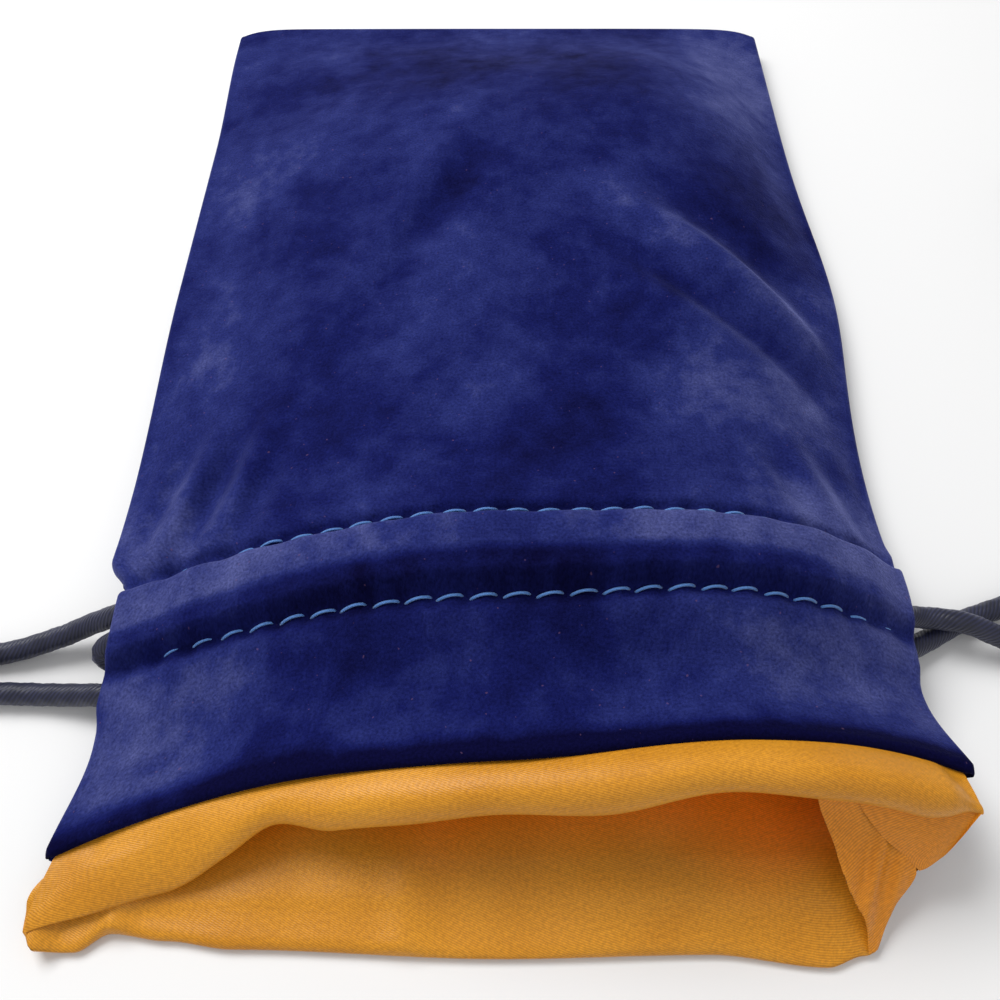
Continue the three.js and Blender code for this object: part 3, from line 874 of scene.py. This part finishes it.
def corner_fold():
    """The folded-in satin at the right of the mouth, from deep inside to its outer crease."""
    deep = [(42.4, -66, 4.9), (42.6, -65.4, 6.0), (42.4, -65, 7.3), (41.4, -65.4, 8.8), (40.4, -66, 10.4)]
    behind = [
        (40.6, -78.5, 1.9), (39.6, -75.5, 4.4), (38.0, -72.0, 7.6), (36.4, -68.8, 10.6), (35.4, -66.4, 13.4),
    ]
    ridge = [
        (38.2, -82.0, 1.3), (37.6, -79.6, 3.4), (35.6, -76.8, 6.2),
        (33.9, -72.8, 9.0), (32.4, -69.8, 11.4), (31.8, -67.8, 14.3),
    ]
    hollow = [
        (38.9, -82.1, 1.2), (39.0, -79.6, 3.0), (38.2, -76.2, 5.6),
        (36.9, -72.6, 8.2), (35.2, -69.6, 11.0), (34.5, -67.8, 13.7),
    ]
    crease = [
        (39.3, -81.9, 1.0), (40.9, -78.4, 3.0), (43.2, -75.1, 5.8),
        (40.2, -72.2, 8.0), (37.2, -69.6, 10.9), (36.4, -67.8, 13.2),
    ]
    grid, uvs = patch([deep, behind, ridge, hollow, crease], 90, 60)
    x, y, z = grid[..., 0], grid[..., 1], grid[..., 2]
    creased = np.exp(-(((x - 39.5) / 2.6) ** 2) - ((z - 5.5) / 3.5) ** 2)
    grid[..., 2] += 0.45 * creased * np.sin((x * 0.9 - y * 0.5 + z * 0.4) * 2 * math.pi / 2.4)
    return grid, uvs


def corner_flap():
    """The satin from the crease out to the right tip."""
    low = [
        (43.5, -75.1, 5.7), (41.6, -73.7, 7.0), (39.4, -72.3, 8.4), (36.8, -69.9, 11.0), (36.1, -67.8, 13.2),
    ]
    middle = [
        (44.2, -74.9, 6.4), (44.0, -73.4, 8.6), (42.8, -71.8, 10.4), (41.2, -69.8, 12.0), (40.6, -68.4, 12.6),
    ]
    high = [
        (45.6, -74.0, 7.8), (47.3, -72.3, 9.9), (48.0, -71.2, 11.2), (48.0, -70.2, 11.9), (47.0, -69.0, 12.2),
    ]
    return patch([low, middle, high], 40, 40)


def corner_skin():
    """The outer face of the corner, below the flap and back under the velvet."""
    edge = [
        (38.8, -82.3, 0.5), (40.8, -78.5, 2.7), (43.3, -75.1, 5.6), (45.6, -74.0, 7.8), (48.4, -70.9, 12.1),
    ]
    behind = [
        (40.4, -80.0, 0.5), (42.6, -76.4, 2.5), (45.0, -72.6, 5.5), (47.0, -70.2, 8.7), (48.0, -68.4, 11.9),
    ]
    tucked = [
        (41.2, -76.5, 1.5), (43.2, -72.5, 4.2), (45.4, -69.2, 7.4), (46.4, -67.2, 9.6), (46.8, -65.4, 11.2),
    ]
    return patch([edge, behind, tucked], 30, 60)


# ---- stitches ----
def stitch_lines(y, x0, x1, front, clear):
    """Slanted stitches along a row, each dipping into its holes at t = -1 and t = 1.

    On the front they lie on the pile, and sink into it past clear mm from the middle.
    """
    slant = 0.20 if front else 0.1
    rng = np.random.default_rng(int(-y * 10))
    t = np.linspace(-1, 1, 9)
    lines = []
    for x in np.arange(x0, x1, STITCH):
        middle = x + STITCH / 2 + rng.uniform(-0.12, 0.12)
        xs = middle + 0.41 * STITCH * t
        ys = y + slant * t + rng.uniform(-0.08, 0.08)
        if front:
            u = xs / half_width(xs / FRONT_HALF, ys, FRONT_HALF)
            sunk = 0.42 * smooth((np.abs(xs) - clear) / 6)
            zs = front_surface(u, ys)[2] + 0.05 + 0.19 * (1 - t**4) - 0.25 * np.abs(t) ** 6 - sunk
            ys = front_place(xs / FRONT_HALF, ys)
        else:
            zs = 0.30 - 0.25 * np.abs(t) ** 6
        lines.append(np.stack([xs, ys, zs], -1))
    return lines


# ---- cords ----
def front_run(y, *xs):
    """Points of a cord inside the front casing."""
    points = []
    for x in xs:
        u = np.array(x / SATIN_HALF)
        place = front_place(u, np.array(y))
        points.append((x, float(place), float(front_height(u, place) + puff(np.array(y))) - CORD_DEPTH))
    return points


def back_run(y, *xs):
    """Points of a cord inside the back casing."""
    return [(x, y, CORD_DEPTH) for x in xs]


R = CORD_RADIUS  # the height of a cord that lies on the table
TAILS = {
    "left_front": [
        *front_run(LEFT_CORD_FRONT, -38, -42), (-45.5, -45.9, 6.4), (-50, -46.2, 3.9), (-54, -47.3, 2.6),
        (-60.7, -48.9, 1.5), (-68, -49.2, R), (-76, -46.6, R), (-83, -40.5, R), (-88, -31, R), (-91, -18, R),
        (-92.6, -3, R), (-93.6, 10, R), (-94.4, 19.6, 2.6), (-95.2, 23.2, 3.9),
    ],
    "left_back": [
        *back_run(LEFT_CORD_BACK, -38, -42, -46), (-50, -54.6, 2.2), (-56, -54.2, R), (-64, -54, R),
        (-73, -53.4, R), (-82, -50, R), (-89.6, -43, R), (-94.6, -32, R), (-97.4, -18, R), (-98.6, -3, R),
        (-98.4, 10, R), (-97.6, 19.6, 2.6), (-96.8, 23.2, 3.9),
    ],
    "right_front": [
        *front_run(RIGHT_CORD_FRONT, 38, 42), (45.7, -47, 7.6), (51, -45.4, 4.3), (56.6, -46.2, 4.4),
        (61.5, -47.6, 3), (68, -49.2, 1.6), (76, -49.4, R), (84, -46, R), (90.4, -38.5, R), (94.8, -27, R),
        (97, -13, R), (97.9, 2, R), (98, 11, R), (97.5, 19.6, 2.6), (96.7, 23.2, 3.9),
    ],
    "right_back": [
        *back_run(RIGHT_CORD_BACK, 38, 43), (47, -50.2, 2.95), (52.2, -47.6, 1.7), (57, -45, R),
        (63, -42.8, R), (71, -40, R), (79, -35.5, R), (85.4, -28, R), (89.4, -17, R), (91.6, -4, R),
        (93, 9, R), (94.4, 19.6, 2.6), (95.2, 23.2, 3.9),
    ],
}
LOOPS = {
    "left": [
        *front_run(LEFT_CORD_FRONT, -37.2, -30, -20, -10, 0, 10, 20, 30, 36),
        (39.4, -42.7, 9.7), (40.6, -43.9, 7.4), (40.6, -46.2, 6.15),
        (40.6, -51, 6.15), (40.4, -53.6, 5.2), (38.6, -55.2, 3.4),
        *back_run(LEFT_CORD_BACK, 35, 24, 8, -8, -24, -37.2),
    ],
    "right": [
        *front_run(RIGHT_CORD_FRONT, 37.2, 30, 20, 10, 0, -10, -20, -30, -38, -42.5),
        (-45.9, -49.2, 5.5), (-47.6, -50.1, 4.2), (-45.9, -51, 3.2),
        *back_run(RIGHT_CORD_BACK, -42.5, -36, -20, 0, 20, 37.2),
    ],
}


def braid(length, angle):
    """The braid's relief, as a share of the cord's radius."""
    first = np.sin(2 * math.pi * length / 1.9 + 2 * angle)
    second = np.sin(2 * math.pi * length / 1.9 - 2 * angle)
    return 0.035 * first * second + 0.02 * np.sin(2 * math.pi * length / 2.6 + 3 * angle)


def bend(obj):
    """Bakes a cloth piece's transform into its mesh."""
    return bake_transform(obj)


def make_tail(name, points):
    """A cord's free length, from inside the casing to its knot, and its line."""
    side, layer = name.split("_")
    line = spline_points(points, 0.45)
    line[:, 2] = np.maximum(line[:, 2], R * 1.04)
    tail = sweep(f"{name}_tail", [line], CORD, R, 22, braid)
    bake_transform(tail)
    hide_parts(f"{side}_cord_{layer}_tail")
    return tail, line


def make_loop(side, points):
    """A cord's loop in the casing, as the runs in each half of the bag."""
    line = spline_points(points, 0.6)
    for half, sign in (("left", -1), ("right", 1)):
        inside = line[:, 0] * sign >= -0.3
        cuts = np.flatnonzero(np.diff(inside.astype(int)))
        runs = [r for r in np.split(np.arange(len(line)), cuts + 1) if inside[r[0]] and len(r) > 3]
        loop = sweep(f"{side}_loop_{half}_half", [line[r] for r in runs], CORD, R, 16, braid)
        bend(loop)
        if half == side:
            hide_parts(f"{side}_cord_loop")


def knot_lines(sign):
    """An overhand knot tied in both strands, drawn tight: a flattened trefoil for each."""
    t = np.linspace(0, 2 * math.pi, 160)
    lines = []
    for shift in (-0.55, 0.55):
        size = 1 + 0.10 * shift
        x = 0.80 * (np.sin(t) + 2.0 * np.sin(2 * t)) * 0.98 * size
        y = 1.02 * (np.cos(t) - 2.0 * np.cos(2 * t)) * size
        z = (-1.75 * np.sin(3 * t) + shift * 1.15) * 0.92
        lines.append(np.stack([sign * (KNOT_X + x), KNOT_Y - 0.2 + y, KNOT_Z + z], -1))
    return lines


def make_knot(side, sign):
    knot = sweep(f"{side}_knot", knot_lines(sign), CORD, 1.12, 20, braid, caps=False)
    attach(knot, f"{side}_pull")
    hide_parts(f"{side}_cord_knot")
    return knot


def make_end(side, sign, number, x0, x1, y1):
    """A cut end: it leaves the knot at x0 and lies on the table at x1, y1."""
    points = [
        (sign * (KNOT_X + x0) / 2, 26.0, 3.9),
        (sign * x0, 29.4, 3.3),
        (sign * x0, 31.6, 2.6),
        (sign * (x0 + x1) / 2, 34.5, 1.75),
        (sign * x1, y1, R * 1.04),
    ]
    line = spline_points(points, 0.4)
    radius = np.full(len(line), R)
    radius[-3:] = [R * 1.03, R * 1.0, R * 0.8]
    end = sweep(f"{side}_cord_end_{number}_cut", [line], CORD, radius, 20, braid)
    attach(end, f"{side}_pull")
    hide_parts(f"{side}_cord_end_{number}")
    return end


tails = {name: make_tail(name, points) for name, points in TAILS.items()}
for side, points in LOOPS.items():
    make_loop(side, points)
for side, sign in (("left", -1), ("right", 1)):
    knot = make_knot(side, sign)
    ends = [make_end(side, sign, 1, 94.3, 91.6, 41.0), make_end(side, sign, 2, 97.8, 99.8, 43.0)]
    for layer, end in zip(("front", "back"), ends):
        tail, line = tails[f"{side}_{layer}"]

# ---- cloth objects ----
for name, (grid, uvs, pile), material, flip, node, slot_name in (
    ("front_velvet", front_velvet(), VELVET, True, "front_shell", "velvet"),
    ("back_velvet", back_velvet(), VELVET, False, "back_shell", "velvet"),
    ("front_satin", front_satin(), SATIN, False, "front_lining", "satin"),
    ("back_satin", back_satin(), SATIN, True, "back_lining", "satin"),
):
    for obj, side in zip(halves(name, grid, uvs, pile, material, flip), ("left", "right")):
        bend(obj)
        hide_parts(node)

corner_parts = [corner_fold(), corner_flap(), corner_skin()]
# the corner's satin is given a little painted shade
mouth_corner = merge("satin_mouth_corner", corner_parts, SHADED_CORNER_SATIN, SATIN)
bend(mouth_corner)

# ---- stitch rows ----
THREAD_RADIUS = 0.175
STITCH_CLEAR = (27, 37)  # how far from the middle each front row lies clear of the pile
for layer, rows, left_end, right_end in (
    ("front", FRONT_ROWS, -43.2, 46.6),
    ("back", BACK_ROWS, -31.5, 31.5),
):
    for i, (y, clear) in enumerate(zip(rows, STITCH_CLEAR), 1):
        for side, x0, x1 in (("left", left_end, 0), ("right", 0, right_end)):
            lines = stitch_lines(y, x0, x1, layer == "front", clear)
            row = sweep(f"{layer}_stitches_{i}_{side}", lines, THREAD, THREAD_RADIUS, 8)
            bend(row)
            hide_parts(f"{layer}_casing_stitch_row_{i}")

# ---- seams ----
SEAM_RADIUS = 0.6
SEAMS = (
    ("left", -1, "side", 80, -34),
    ("left", -1, "header", -61, -73.5),
    ("right", 1, "side", 80, -34),
    ("right", 1, "header", -57, -65),
)
for side, sign, part, y0, y1 in SEAMS:
    y = np.linspace(y0, y1, int(abs(y1 - y0) / 0.8))
    x = sign * (edge_width(np.full_like(y, sign), y, FRONT_HALF) + 0.25)
    line = np.stack([x, y, seam_height(sign, y) + 0 * y], -1)
    seam = sweep(f"{side}_{part}_seam_ridge", [line], VELVET, SEAM_RADIUS, 8)
    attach(seam, f"{side}_side")
    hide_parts(f"{side}_{part}_seam")
x = np.linspace(-46.5, 46.5, 120)
line = np.stack([x, HALF_LENGTH - 1.0 - base_corner(x / SATIN_HALF), np.full_like(x, SEAM_HEIGHT)], -1)
base = sweep("base_seam_ridge", [line], VELVET, SEAM_RADIUS, 8)
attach(base, "pouch")
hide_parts("base_seam")


# ---- floor, world and lights ----
def make_floor(half, z):
    """A plain white floor, half metres each way from the middle and just under the bag."""
    material, _, shader = node_material("floor")
    shader.inputs["Base Color"].default_value = (0.86, 0.86, 0.86, 1)
    shader.inputs["Roughness"].default_value = 0.8
    mesh = bpy.data.meshes.new("floor")
    corners = [(-half, -half, z), (half, -half, z), (half, half, z), (-half, half, z)]
    mesh.from_pydata(corners, [], [(0, 1, 2, 3)])
    return link("floor", mesh, material)


def light_world(strength):
    world = bpy.data.worlds.new("studio")
    bpy.context.scene.world = world
    world.use_nodes = True
    background = world.node_tree.nodes["Background"]
    background.inputs["Color"].default_value = (1, 1, 1, 1)
    background.inputs["Strength"].default_value = strength


def make_light(name, place, size, power):
    """An area light that faces the bag."""
    light = bpy.data.objects.new(name, bpy.data.lights.new(name, "AREA"))
    light.data.size = size
    light.data.energy = power
    light.location = place
    aim = Vector((0, -0.02, 0)) - Vector(place)
    light.rotation_euler = aim.to_track_quat("-Z", "Y").to_euler()
    bpy.context.scene.collection.objects.link(light)
    return light


floor = make_floor(half=3, z=-0.0001)
light_world(strength=0.48)
key = make_light("key", place=(-0.28, 0.25, 0.53), size=0.36, power=3.7)
fill = make_light("front", place=(0.14, -0.42, 0.42), size=0.5, power=0.32)
